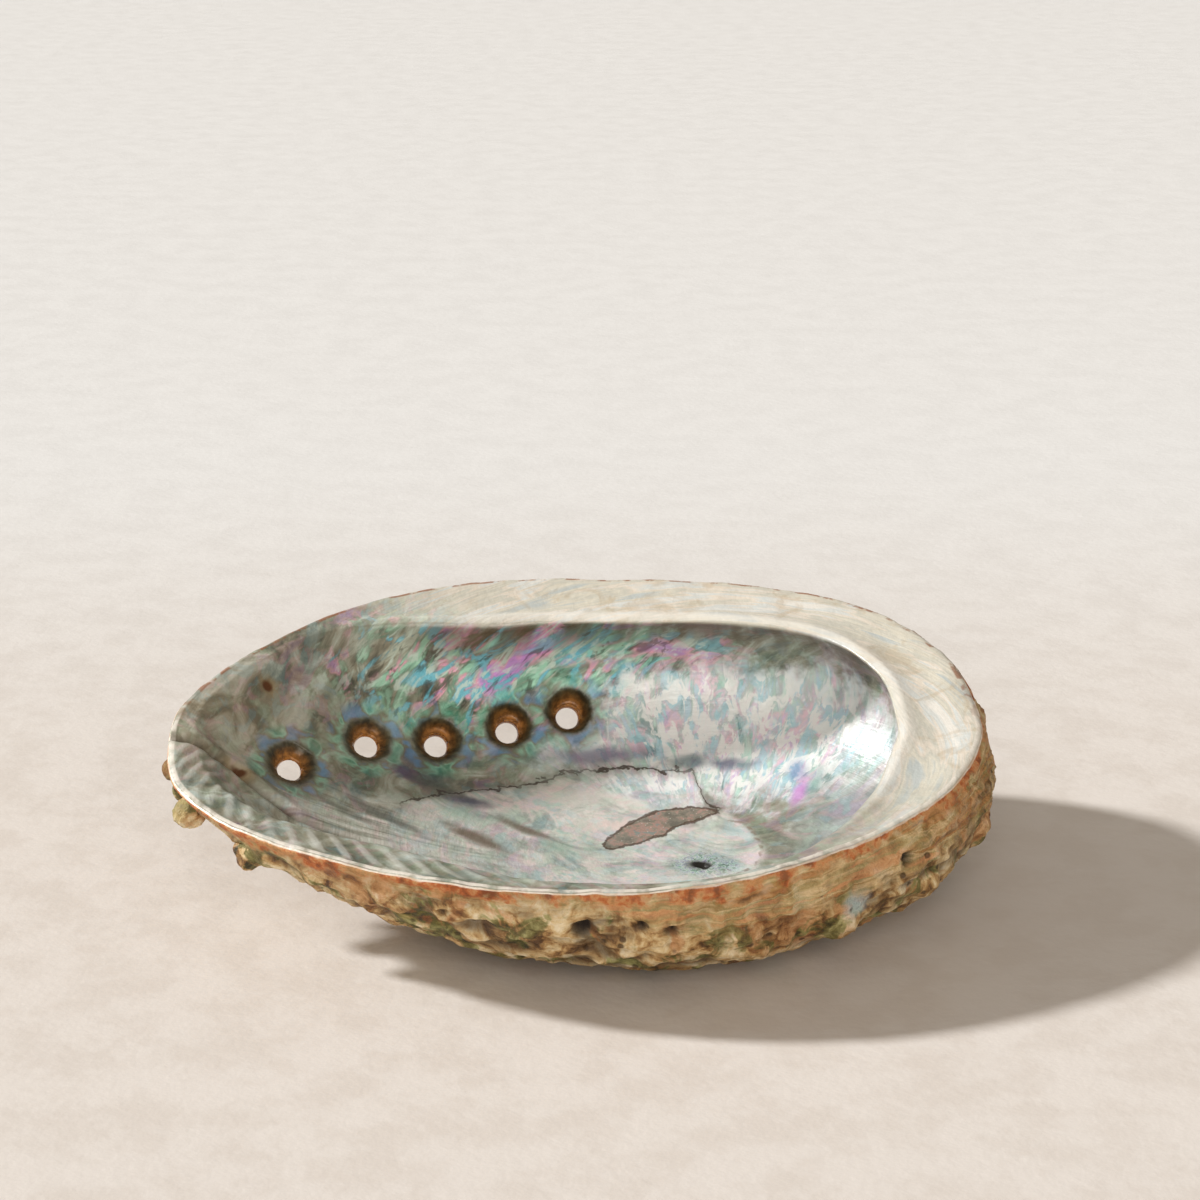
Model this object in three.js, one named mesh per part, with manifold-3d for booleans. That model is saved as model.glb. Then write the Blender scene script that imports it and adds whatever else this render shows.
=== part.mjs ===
// An empty abalone shell lying on its back with the mouth up, in millimetres, +Z up.
// The long axis is X; the mouth leans towards -Y; the origin is the middle of the underside.
// It is one natural piece: a thin bowl with a shelf along the far side of the mouth,
// a row of open breathing pores under that shelf, and a flat worn patch it rests on.
import * as THREE from 'three';
import { ParametricGeometry } from 'three/addons/geometries/ParametricGeometry.js';
import { mergeVertices } from 'three/addons/utils/BufferGeometryUtils.js';
import Module from 'manifold-3d';

const wasm = await Module();
wasm.setup();

// The rim seen from above, counter-clockwise from the right end.
const RIM_PLAN = [
  [70, 4], [66.5, 24], [54, 41.5], [33, 50.6], [8, 53.3], [-18, 52.2],
  [-40, 43.5], [-58, 26], [-68.5, 8], [-69.8, -7], [-66, -22.5], [-53, -36],
  [-28, -48.2], [-2, -53.2], [22, -50.8], [44, -40], [60.5, -25], [68.6, -9],
];
const RIM_HEIGHT = 30.9;
const RIM_LEAN_DEG = 9.5;
const CENTRE_SHIFT = new THREE.Vector3(-0.8, -0.55, 0);

// The spire, where the growth started, is the pole every profile runs out from.
const SPIRE = new THREE.Vector2(22, -1);
const SPIRE_FLOOR = 3.8;
const SPIRE_UNDERSIDE = -0.4;

// Profile controls at eight directions, counter-clockwise from +X in steps of 45 degrees.
const OUTER_REACH = [0.92, 0.88, 0.82, 0.72, 0.54, 0.70, 0.95, 0.95];
const OUTER_SAG = [-2.4, -2.4, -2.2, -2.0, -1.8, -2.0, -2.4, -2.4];
const OUTER_PULL = [17, 19, 20, 20, 16, 15, 12, 13];
const OUTER_WALL_DEG = [118, 112, 106, 80, 44, 62, 80, 104];
const INNER_REACH = [0.93, 0.90, 0.84, 0.68, 0.52, 0.70, 0.93, 0.93];
const INNER_PULL = [22, 23, 22, 18, 14, 12, 10, 14];
const INNER_WALL_DEG = [134, 142, 138, 90, 44, 44, 72, 106];
const SHELF_SLOPE_DEG = [3, 10, 19, 18, 12, 5, 6, 5];
const FLANGE_WIDTH = [1, 1, 1, 2, 3, 10, 3.6, 1];
const NOSE_RADIUS = [0.5, 0.5, 0.5, 1.2, 2, 3, 1.6, 0.6];

// The shelf is wide on the far side and the right end and fades into the narrower flange.
const SHELF_WIDTH = 13.5;
const SHELF_RIGHT_DEG = [-64, -6];
const SHELF_LEFT_DEG = [152, 112];
const RIM_INSET = 0.4;
const RIM_ROLL = 0.8;

// How finely the surface is divided, around the rim and along a profile.
const AROUND = 64;
const INNER_ROWS = 14;
const NOSE_ROWS = 3;
const SHELF_ROWS = 3;
const OUTER_ROWS = 17;
const FIRST_SHELF_ROW = INNER_ROWS + NOSE_ROWS;
const FIRST_OUTER_ROW = FIRST_SHELF_ROW + SHELF_ROWS + 1;
const ROWS = FIRST_OUTER_ROW + OUTER_ROWS;

// Open pores: where each one leaves the bowl, from the growing end back to the newest whorl.
const PORES = [
  [-50.9, 4.2, 20.4], [-38.8, 22.4, 17.8], [-26.4, 30.2, 14.9], [-13.3, 37, 15], [-2, 42, 16],
];
const PORE_AXIS_FIRST = new THREE.Vector3(-0.16, 0.86, -0.48);
const PORE_AXIS_LAST = new THREE.Vector3(-0.05, 0.91, -0.42);
const PORE_RADIUS = 2.15;
const FUNNEL_RADIUS = 3.7;
const FUNNEL_DEPTH = 3.2;
const BORE_REACH = 12;
const TURRET_RADIUS = 3.1;
const TURRET_FOOT_RADIUS = 3.9;
const TURRET_LENGTH = 3.2;
const TURRET_START = [5.2, 4.4];

// Healed pores carry the row on as knobs round the right end and back to the spire.
const KNOB_COUNT = 9;
const KNOB_FIRST_DEG = 74;
const KNOB_LAST_DEG = -58;
const KNOB_STATION = [0.34, 0.3, 0.42];
const KNOB_RADIUS = [4.2, 3];
const KNOB_SINK = 0.6;

// Barnacle lumps and a broken flake at the growing end, each a centre and a radius.
const LUMPS = [[-69, -10, 26.6, 2.5], [-65.2, -19.4, 21.6, 2.7], [-53, -32, 18.6, 2.6]];
const SPIRE_PIT = { radius: 1.3, depth: 2.2 };
const HEALED_PITS = [[-56.4, 20.2, 30.1], [-59, -5.2, 23.9]];
const HEALED_PIT_RADIUS = 1.3;

const UP = new THREE.Vector3(0, 1, 0);
const rim = new THREE.CatmullRomCurve3(
  RIM_PLAN.map(([x, y]) => new THREE.Vector3(x, y, rimHeight(y))), true, 'catmullrom', 0.5);

function rimHeight(y) {
  return RIM_HEIGHT + Math.tan(THREE.MathUtils.degToRad(RIM_LEAN_DEG)) * y;
}

// A smooth value between the eight directions of a list, for an angle in radians.
function around(angle, values) {
  const ring = new THREE.CatmullRomCurve3(
    values.map((value) => new THREE.Vector3(value, 0, 0)), true, 'catmullrom', 0.5);
  return ring.getPoint(THREE.MathUtils.euclideanModulo(angle / (2 * Math.PI), 1)).x;
}

function shelfWidth(angle) {
  const degrees = THREE.MathUtils.radToDeg(angle);
  const right = THREE.MathUtils.smoothstep(degrees, SHELF_RIGHT_DEG[0], SHELF_RIGHT_DEG[1]);
  const left = THREE.MathUtils.smoothstep(-degrees, -SHELF_LEFT_DEG[0], -SHELF_LEFT_DEG[1]);
  return THREE.MathUtils.lerp(around(angle, FLANGE_WIDTH), SHELF_WIDTH, right * left);
}

// A point a given length back from another, down along a wall of the given angle.
function backAlong(point, length, degrees) {
  const wall = THREE.MathUtils.degToRad(degrees);
  return new THREE.Vector2(
    point.x - length * Math.cos(wall), point.y - length * Math.sin(wall));
}

// A point of the shelf's rounded inner edge, where the surface runs up at an angle of turn.
function onNose(lip, radius, slopeDegrees, turnDegrees) {
  const slope = THREE.MathUtils.degToRad(slopeDegrees);
  const turn = THREE.MathUtils.degToRad(turnDegrees);
  return new THREE.Vector2(
    lip.x + radius * (Math.sin(slope) - Math.sin(turn)),
    lip.y + radius * (Math.cos(turn) - Math.cos(slope)));
}

// The profile from the spire to one point of the rim, as curves of (distance out, height).
function profile(rimPoint) {
  const angle = Math.atan2(rimPoint.y, rimPoint.x);
  const out = new THREE.Vector2(rimPoint.x, rimPoint.y).sub(SPIRE);
  const reach = out.length();
  const top = new THREE.Vector2(reach - RIM_INSET, rimPoint.z);
  const edge = new THREE.Vector2(reach + RIM_ROLL, rimPoint.z - RIM_ROLL);
  const width = shelfWidth(angle);
  const slope = around(angle, SHELF_SLOPE_DEG);
  const wall = around(angle, INNER_WALL_DEG);
  const lip = backAlong(new THREE.Vector2(reach, rimPoint.z), width, slope);
  const noseRadius = around(angle, NOSE_RADIUS);
  const nose = (step) => onNose(lip, noseRadius, slope, THREE.MathUtils.lerp(wall, slope, step));
  const under = nose(0);
  const inner = new THREE.CubicBezierCurve(
    new THREE.Vector2(0, SPIRE_FLOOR),
    new THREE.Vector2(around(angle, INNER_REACH) * (reach - width), SPIRE_FLOOR - RIM_INSET),
    backAlong(under, around(angle, INNER_PULL), wall),
    under);
  const outer = new THREE.CubicBezierCurve(
    new THREE.Vector2(0, SPIRE_UNDERSIDE),
    new THREE.Vector2(around(angle, OUTER_REACH) * reach, around(angle, OUTER_SAG)),
    backAlong(edge, around(angle, OUTER_PULL), around(angle, OUTER_WALL_DEG)),
    edge);
  return { inner, nose, lip, top, outer, direction: out.normalize() };
}

// One point of the profile: up the inside, over the shelf and rim, down the outside.
function profilePoint(shape, row) {
  if (row <= INNER_ROWS)
    return shape.inner.getPoint(row / INNER_ROWS);
  if (row < FIRST_SHELF_ROW)
    return shape.nose((row - INNER_ROWS) / NOSE_ROWS);
  if (row < FIRST_OUTER_ROW)
    return shape.lip.clone().lerp(shape.top, (row - FIRST_SHELF_ROW) / SHELF_ROWS);
  return shape.outer.getPoint(1 - (row - FIRST_OUTER_ROW) / OUTER_ROWS);
}

function shellPoint(u, v, target) {
  const shape = profile(rim.getPointAt(u % 1));
  const point = profilePoint(shape, Math.round((1 - v) * ROWS));
  target.set(
    SPIRE.x + shape.direction.x * point.x, SPIRE.y + shape.direction.y * point.x, point.y);
}

// A solid from any closed three.js geometry; faces with no area, as at a pole, are dropped.
function solidOf(geometry) {
  const bare = new THREE.BufferGeometry();
  bare.setAttribute('position', geometry.getAttribute('position'));
  bare.setIndex(geometry.index);
  const merged = mergeVertices(bare, 1e-3);
  const corners = Array.from(merged.index.array);
  const kept = [];
  for (let i = 0; i < corners.length; i += 3) {
    const [a, b, c] = corners.slice(i, i + 3);
    if (a !== b && b !== c && c !== a)
      kept.push(a, b, c);
  }
  return new wasm.Manifold(new wasm.Mesh({
    numProp: 3,
    vertProperties: merged.attributes.position.array,
    triVerts: new Uint32Array(kept),
  }));
}

// A geometry whose own +Y axis is turned to a direction and moved to a point.
function aimed(geometry, direction, point) {
  geometry.applyQuaternion(new THREE.Quaternion().setFromUnitVectors(UP, direction));
  return geometry.translate(point.x, point.y, point.z);
}

// Each pore's mouth, the way it leads out, and how far out its turret starts.
function poreLayout() {
  return PORES.map(([x, y, z], index) => {
    const step = index / (PORES.length - 1);
    const axis = PORE_AXIS_FIRST.clone().lerp(PORE_AXIS_LAST, step).normalize();
    return {
      mouth: new THREE.Vector3(x, y, z), axis, start: THREE.MathUtils.lerp(...TURRET_START, step) };
  });
}

function poreTurret({ mouth, axis, start }) {
  const turret = new THREE.CylinderGeometry(TURRET_RADIUS, TURRET_FOOT_RADIUS, TURRET_LENGTH, 12);
  const middle = mouth.clone().addScaledVector(axis, start + TURRET_LENGTH / 2);
  return solidOf(aimed(turret, axis, middle));
}

// The bore is narrow outside and opens as a funnel into the bowl.
function poreBore({ mouth, axis }) {
  const points = [
    new THREE.Vector2(0, -BORE_REACH),
    new THREE.Vector2(FUNNEL_RADIUS, -BORE_REACH),
    new THREE.Vector2(FUNNEL_RADIUS, 0),
    new THREE.Vector2(PORE_RADIUS, FUNNEL_DEPTH),
    new THREE.Vector2(PORE_RADIUS, BORE_REACH),
    new THREE.Vector2(0, BORE_REACH),
  ];
  return solidOf(aimed(new THREE.LatheGeometry(points, 16), axis, mouth));
}

function ball([x, y, z], radius) {
  return solidOf(new THREE.IcosahedronGeometry(radius, 1).translate(x, y, z));
}

// A healed pore: a knob half sunk in the outside, higher on the right end than at the spire.
function healedKnob(index) {
  const step = index / (KNOB_COUNT - 1);
  const degrees = THREE.MathUtils.lerp(KNOB_FIRST_DEG, KNOB_LAST_DEG, step);
  const shape = profile(rimPointAt(THREE.MathUtils.degToRad(degrees)));
  const [start, middle, end] = KNOB_STATION;
  const station = step < 0.5
    ? THREE.MathUtils.lerp(start, middle, step * 2)
    : THREE.MathUtils.lerp(middle, end, step * 2 - 1);
  const radius = THREE.MathUtils.lerp(KNOB_RADIUS[0], KNOB_RADIUS[1], step);
  const point = shape.outer.getPoint(1 - station);
  const out = point.x - KNOB_SINK * radius;
  return ball(
    [SPIRE.x + shape.direction.x * out, SPIRE.y + shape.direction.y * out, point.y], radius);
}

// The point of the rim nearest to a direction from the middle.
function rimPointAt(angle) {
  const aim = new THREE.Vector2(Math.cos(angle), Math.sin(angle));
  const closeness = (p) => (p.x * aim.x + p.y * aim.y) / Math.hypot(p.x, p.y);
  return rim.getSpacedPoints(4 * AROUND)
    .reduce((best, p) => (closeness(p) > closeness(best) ? p : best));
}

function spirePit() {
  const pit = new THREE.ConeGeometry(SPIRE_PIT.radius, SPIRE_PIT.depth, 12);
  const centre = new THREE.Vector3(SPIRE.x, SPIRE.y, SPIRE_FLOOR - 0.2);
  return solidOf(aimed(pit, new THREE.Vector3(0, 0, -1), centre));
}

// The worn patch: everything below the ground plane is ground away.
function worn() {
  const depth = 10;
  return solidOf(new THREE.BoxGeometry(200, 200, depth).translate(0, 0, -depth / 2));
}

function buildShell() {
  let shell = solidOf(new ParametricGeometry(shellPoint, AROUND, ROWS));
  const pores = poreLayout();
  for (const pore of pores)
    shell = shell.add(poreTurret(pore));
  for (let i = 0; i < KNOB_COUNT; i += 1)
    shell = shell.add(healedKnob(i));
  for (const [x, y, z, radius] of LUMPS)
    shell = shell.add(ball([x, y, z], radius));
  for (const pore of pores)
    shell = shell.subtract(poreBore(pore));
  for (const pit of HEALED_PITS)
    shell = shell.subtract(ball(pit, HEALED_PIT_RADIUS));
  return shell.subtract(spirePit()).subtract(worn());
}

function meshOf(solid, name, material) {
  const data = solid.getMesh();
  const geometry = new THREE.BufferGeometry();
  geometry.setAttribute('position', new THREE.BufferAttribute(data.vertProperties, data.numProp));
  geometry.setIndex(new THREE.BufferAttribute(data.triVerts, 1));
  geometry.translate(CENTRE_SHIFT.x, CENTRE_SHIFT.y, CENTRE_SHIFT.z);
  geometry.computeVertexNormals();
  const mesh = new THREE.Mesh(geometry, material);
  mesh.name = name;
  return mesh;
}

const nacre = new THREE.MeshStandardMaterial({
  name: 'nacre', color: '#b9b8ae', roughness: 0.32, metalness: 0.05,
});

const group = new THREE.Group();
group.name = 'abalone_shell';
group.add(meshOf(buildShell(), 'shell', nacre));

export default group;
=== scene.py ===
"""An abalone shell lying mouth up: one closed surface with a nacre inside and a crusted outside."""
import math

import bmesh
import bpy
import numpy as np
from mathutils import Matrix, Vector, noise

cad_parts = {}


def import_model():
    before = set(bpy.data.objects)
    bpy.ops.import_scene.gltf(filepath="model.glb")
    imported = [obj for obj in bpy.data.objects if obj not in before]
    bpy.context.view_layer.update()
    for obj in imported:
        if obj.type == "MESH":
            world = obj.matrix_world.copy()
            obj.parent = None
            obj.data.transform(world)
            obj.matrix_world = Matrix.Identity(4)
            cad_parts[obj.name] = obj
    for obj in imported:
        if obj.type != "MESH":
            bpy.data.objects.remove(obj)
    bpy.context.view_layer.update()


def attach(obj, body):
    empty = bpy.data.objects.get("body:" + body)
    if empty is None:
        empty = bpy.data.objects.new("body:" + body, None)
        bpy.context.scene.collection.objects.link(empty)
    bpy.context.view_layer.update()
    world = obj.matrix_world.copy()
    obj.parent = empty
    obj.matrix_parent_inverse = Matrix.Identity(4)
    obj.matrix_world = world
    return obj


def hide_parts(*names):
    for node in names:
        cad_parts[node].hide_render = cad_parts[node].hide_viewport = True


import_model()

# ---------------------------------------------------------------- sizes, in millimetres
MM = 0.001
RIM_PLAN = [
    (70, 4), (66.5, 24), (54, 41.5), (33, 50.6), (8, 53.3), (-18, 52.2),
    (-40, 43.5), (-58, 26), (-68.5, 8), (-69.8, -7), (-66, -22.5), (-53, -36),
    (-28, -48.2), (-2, -53.2), (22, -50.8), (44, -40), (60.5, -25), (68.6, -9),
]
RIM_HEIGHT = 30.9
RIM_LEAN = math.tan(math.radians(9.5))
CENTRE_SHIFT = np.array([-0.8, -0.55, 0.0])
SPIRE = np.array([22.0, -1.0])
SPIRE_FLOOR = 3.8
SPIRE_UNDERSIDE = -0.4

# Profile controls at eight directions, counter-clockwise from +X.
OUTER_REACH = [0.92, 0.88, 0.82, 0.72, 0.54, 0.70, 0.95, 0.95]
OUTER_SAG = [-2.4, -2.4, -2.2, -2.0, -1.8, -2.0, -2.4, -2.4]
OUTER_PULL = [17, 19, 20, 20, 16, 15, 12, 13]
OUTER_WALL_DEG = [118, 112, 106, 80, 44, 62, 80, 104]
INNER_REACH = [0.93, 0.90, 0.84, 0.68, 0.52, 0.70, 0.93, 0.93]
INNER_PULL = [22, 23, 22, 18, 14, 12, 10, 14]
INNER_WALL_DEG = [134, 142, 138, 90, 44, 44, 72, 106]
SHELF_SLOPE_DEG = [3, 10, 19, 18, 12, 5, 6, 5]
SHELF_WIDTH = 13.5
FLANGE_WIDTH = [1, 1, 1, 2, 3, 10, 3.6, 1]
SHELF_RIGHT_DEG = (-64, -6)
SHELF_LEFT_DEG = (152, 112)
NOSE_RADIUS = [0.5, 0.5, 0.5, 1.2, 2, 3, 1.6, 0.6]
RIM_INSET = 0.4
RIM_ROLL = 0.8

# Rows of the surface, from the spire inside, over the shelf and the rim, to the spire outside.
AROUND = 400
INNER_END = 84
NOSE_END = INNER_END + 6
SHELF_END = NOSE_END + 14
RIM_END = SHELF_END + 8
LAST_ROW = RIM_END + 90

# Open pores: where each leaves the bowl, and the way it leads out.
PORES = [(-50.9, 4.2, 20.4), (-38.8, 22.4, 17.8), (-26.4, 30.2, 14.9), (-13.3, 37, 15),
         (-2, 42, 16)]
PORE_AXIS_FIRST = np.array([-0.16, 0.86, -0.48])
PORE_AXIS_LAST = np.array([-0.05, 0.91, -0.42])
PORE_RADIUS = 2.15
THROAT_RADIUS = 2.3
FUNNEL_RADIUS = 4.7
FUNNEL_SINK = 2.3
FUNNEL_SHIFT = np.array([0.2, 0.2, 0.9])
TURRET_RADIUS = 6.2
TURRET_HEIGHT = 1.9
FINE_RADIUS = 6.0


def smooth(low, high, value):
    """0 below low and 1 above high, with a smooth step between."""
    t = np.clip((value - low) / (high - low), 0, 1)
    return t * t * (3 - 2 * t)


def hump(value, centre, width):
    """A bell of height 1."""
    return np.exp(-(((value - centre) / width) ** 2))


def smooth_linear(low, high, value):
    """0 to 1 in a straight line between two rows."""
    return np.clip((value - low) / (high - low), 0, 1)


def spline(table, step, f):
    """A point of the closed smooth curve through a table, a share f past one of its steps."""
    a, b, c, d = (table[(step + k) % len(table)] for k in (-1, 0, 1, 2))
    return 0.5 * (
        2 * b + (c - a) * f + (2 * a - 5 * b + 4 * c - d) * f**2
        + (3 * b - a - 3 * c + d) * f**3
    )


def around(angle, values):
    """A smooth value between the eight directions of a list."""
    turn = (angle / math.tau % 1.0) * len(values)
    step = np.floor(turn).astype(int)
    return spline(np.array(values, float), step, turn - np.floor(turn))


def shelf_share(angle):
    """1 where the shelf is at its full width, 0 where only the thin lip is left."""
    degrees = np.degrees(angle)
    right = smooth(*SHELF_RIGHT_DEG, degrees)
    left = smooth(-SHELF_LEFT_DEG[0], -SHELF_LEFT_DEG[1], -degrees)
    return right * left


class Rim:
    """The closed rim outline, measured by length."""

    STEPS = 120

    def __init__(self):
        plan = np.array(RIM_PLAN, float)
        t = np.arange(len(plan) * self.STEPS + 1) / self.STEPS
        self.points = spline(plan, np.floor(t).astype(int), (t - np.floor(t))[:, None])
        steps = np.linalg.norm(np.diff(self.points, axis=0), axis=1)
        lengths = np.concatenate([[0], np.cumsum(steps)])
        self.length = lengths[-1]
        self.share = lengths / self.length

    def at(self, u):
        x = np.interp(u % 1.0, self.share, self.points[:, 0])
        y = np.interp(u % 1.0, self.share, self.points[:, 1])
        return x, y, RIM_HEIGHT + RIM_LEAN * y

    def u_of(self, degrees):
        """The place along the rim that lies in a direction from the middle."""
        u = np.linspace(0, 1, 3600, endpoint=False)
        x, y, _ = self.at(u)
        miss = (np.degrees(np.arctan2(y, x)) - degrees + 180) % 360 - 180
        return u[np.argmin(np.abs(miss))]


RIM = Rim()


def bezier(points, t):
    a, b, c, d = points
    s = 1 - t
    return tuple(
        s**3 * p + 3 * s * s * t * q + 3 * s * t * t * r + t**3 * w
        for p, q, r, w in zip(a, b, c, d)
    )


def on_nose(lip, radius, slope, turn):
    """A point of the rounded edge where the surface runs up at an angle of turn."""
    return (
        lip[0] + radius * (np.sin(slope) - np.sin(turn)),
        lip[1] + radius * (np.cos(turn) - np.cos(slope)),
    )


def profile(u):
    """The control points of the profile at each u, as (distance from the spire, height)."""
    x, y, z = RIM.at(u)
    angle = np.arctan2(y, x)
    out = np.stack([x, y], 1) - SPIRE
    reach = np.linalg.norm(out, axis=1)
    flange = around(angle, FLANGE_WIDTH)
    width = flange + (SHELF_WIDTH - flange) * shelf_share(angle)
    slope = np.radians(around(angle, SHELF_SLOPE_DEG))
    lip = (reach - width * np.cos(slope), z - width * np.sin(slope))
    wall = np.radians(around(angle, INNER_WALL_DEG))
    nose = around(angle, NOSE_RADIUS)
    under = on_nose(lip, nose, slope, wall)
    edge = (reach + RIM_ROLL, z - RIM_ROLL)
    still = np.zeros_like(reach)

    def back(point, pull, wall):
        length, turn = around(angle, pull), np.radians(around(angle, wall))
        return point[0] - length * np.cos(turn), point[1] - length * np.sin(turn)

    inner = (
        (still, still + SPIRE_FLOOR),
        (around(angle, INNER_REACH) * (reach - width), still + SPIRE_FLOOR - RIM_INSET),
        back(under, INNER_PULL, INNER_WALL_DEG),
        under,
    )
    outer = (
        (still, still + SPIRE_UNDERSIDE),
        (around(angle, OUTER_REACH) * reach, around(angle, OUTER_SAG)),
        back(edge, OUTER_PULL, OUTER_WALL_DEG),
        edge,
    )
    return {
        "angle": angle, "reach": reach, "width": width, "rim": z, "lip": lip,
        "inner": inner, "outer": outer, "toward": out / reach[:, None],
        "nose": nose, "slope": slope, "wall": wall,
    }


SHELF_SAG = 0.55
BEAD_HEIGHT = 0.5
BEAD_PLACE = 1.1
BEAD_SPREAD = 1.32


def stations(p, row):
    """Distance from the spire and height for each profile at each row."""
    inner = bezier(p["inner"], np.clip(row / INNER_END, 0, 1))
    turn = p["wall"] + (p["slope"] - p["wall"]) * smooth_linear(INNER_END, NOSE_END, row)
    nose = on_nose(p["lip"], p["nose"], p["slope"], turn)
    share = smooth_linear(NOSE_END, SHELF_END, row)
    wide = shelf_share(p["angle"])
    crown = BEAD_HEIGHT * hump(share * p["width"], BEAD_PLACE, BEAD_SPREAD)
    crown = crown * smooth(0, 0.08, share)
    dish = wide * (crown - SHELF_SAG * np.sin(math.pi * share) ** 2)
    top = (p["reach"] - RIM_INSET, p["rim"])
    shelf = tuple(a + (b - a) * share for a, b in zip(p["lip"], top))
    roll = 0.5 * math.pi * smooth_linear(SHELF_END, RIM_END, row)
    rim = (
        top[0] + (RIM_INSET + RIM_ROLL) * np.sin(roll),
        top[1] - RIM_ROLL + RIM_ROLL * np.cos(roll),
    )
    outer = bezier(p["outer"], 1 - smooth_linear(RIM_END, LAST_ROW, row))
    where = [row <= INNER_END, row <= NOSE_END, row <= SHELF_END, row <= RIM_END]
    reach = np.select(where, [inner[0], nose[0], shelf[0], rim[0]], outer[0])
    height = np.select(where, [inner[1], nose[1], shelf[1] + dish, rim[1]], outer[1])
    return reach, height


def surface(u, row):
    """The plain shell surface, before its relief."""
    p = profile(u)
    reach, height = stations(p, row)
    plan = SPIRE + p["toward"] * reach[:, None]
    return np.column_stack([plan, height])


def facing(u, row):
    """Unit vectors that point out of the solid."""
    du, dr = 1e-4, 1e-2
    along = surface(u + du, row) - surface(u - du, row)
    low, high = np.clip(row - dr, 0.02, LAST_ROW), np.clip(row + dr, 0, LAST_ROW - 0.02)
    across = surface(u, high) - surface(u, low)
    normal = np.cross(across, along)
    length = np.linalg.norm(normal, axis=1)
    flat = length < 1e-9
    normal[flat] = np.where(row[flat, None] < INNER_END, [[0, 0, 1]], [[0, 0, -1]])
    length[flat] = 1
    return normal / length[:, None]


# ---------------------------------------------------------------- relief
def grain(points, size, place, octaves=3):
    """Smooth noise of about -1 to 1 whose lumps are roughly size millimetres across."""
    shift = Vector(place)
    return np.array(
        [noise.fractal(Vector(p) / size + shift, 0.9, 2.1, octaves) for p in points]
    )


class Pore:
    """One open pore: its mouth in the bowl, the way out, and how far a point is from it."""

    def __init__(self, index):
        share = index / (len(PORES) - 1)
        axis = PORE_AXIS_FIRST * (1 - share) + PORE_AXIS_LAST * share
        self.axis = axis / np.linalg.norm(axis)
        self.mouth = np.array(PORES[index], float)

    def measure(self, points, shift=np.zeros(3)):
        """How far along the pore and how far from its middle line each point is."""
        gap = points - self.mouth - shift
        along = gap @ self.axis
        off = np.linalg.norm(gap - along[:, None] * self.axis, axis=1)
        return along, off


PORE_LIST = [Pore(i) for i in range(len(PORES))]
NEAR_PORE = (-7.0, 13.0)

KNOB_COUNT = 9
KNOB_DEG = (74, -58)
KNOB_STATION = ([0, 0.5, 1], [0.34, 0.30, 0.42])
KNOB_RADIUS = (4.4, 3.2)
KNOB_HEIGHT = (2.3, 1.5)


def knobs():
    """Middle, radius and height of each healed pore's knob on the outside."""
    for index in range(KNOB_COUNT):
        step = index / (KNOB_COUNT - 1)
        u = RIM.u_of(KNOB_DEG[0] + (KNOB_DEG[1] - KNOB_DEG[0]) * step)
        row = RIM_END + np.interp(step, *KNOB_STATION) * (LAST_ROW - RIM_END)
        middle = surface(np.array([u]), np.array([row]))[0]
        radius = KNOB_RADIUS[0] + (KNOB_RADIUS[1] - KNOB_RADIUS[0]) * step
        yield middle, radius, KNOB_HEIGHT[0] + (KNOB_HEIGHT[1] - KNOB_HEIGHT[0]) * step


LAYER_THICKNESS = 1.5
LAYER_STEP = 0.42
LAYER_DEPTHS = (8, 18)
CRUST_START = (1.0, 7.0)


def crust_relief(base, below, angle):
    """How far the outside stands out or in: stepped layers under the rim, then lumps."""
    right = smooth(-1.0, 0.6, np.cos(angle))
    start = smooth(*CRUST_START, below)
    sheets = below / LAYER_THICKNESS + 0.8 * grain(base, 14, (3, 1, 7), 2)
    saw = sheets - np.floor(sheets)
    fade = 1 - smooth(*LAYER_DEPTHS, below)
    layers = LAYER_STEP * (1 - saw) ** 1.5 * smooth(0.3, 1.5, below) * fade
    layers = layers * (0.35 + 0.65 * right)
    coarse = grain(base, 9.0, (5, 2, 9), 2)
    lumps = grain(base, 4.2, (1, 8, 4), 2)
    knobbly = 1 - 1.7 * np.abs(grain(base, 5.5, (9, 4, 2), 2))
    small = grain(base, 1.9, (6, 6, 2), 2)
    rough = 0.8 * coarse + 0.75 * lumps + 0.75 * np.maximum(knobbly, -0.2) + 0.16 * small - 0.3
    return layers + start * (rough - 0.1)


# Pits in the crust: place and radius.
PITS = [(0.6, -53.4, 14.9, 2.2), (10, -53.4, 15.8, 1.2), (14.8, -52.8, 14.6, 1.3),
        (53.6, -34.6, 19.2, 1.6), (32, -49, 14, 1.1), (-22, -50, 16, 1.2)]
PIT_DEPTH = 1.6

# Blisters stuck to the left end: middle and radius.
BLISTERS = [((-69.3, -9.4, 25.4), 2.2), ((-65.4, -19.2, 21.4), 2.8), ((-53.8, -30.8, 18.9), 2.8),
            ((-67.4, -14.4, 23.4), 1.8)]


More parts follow.
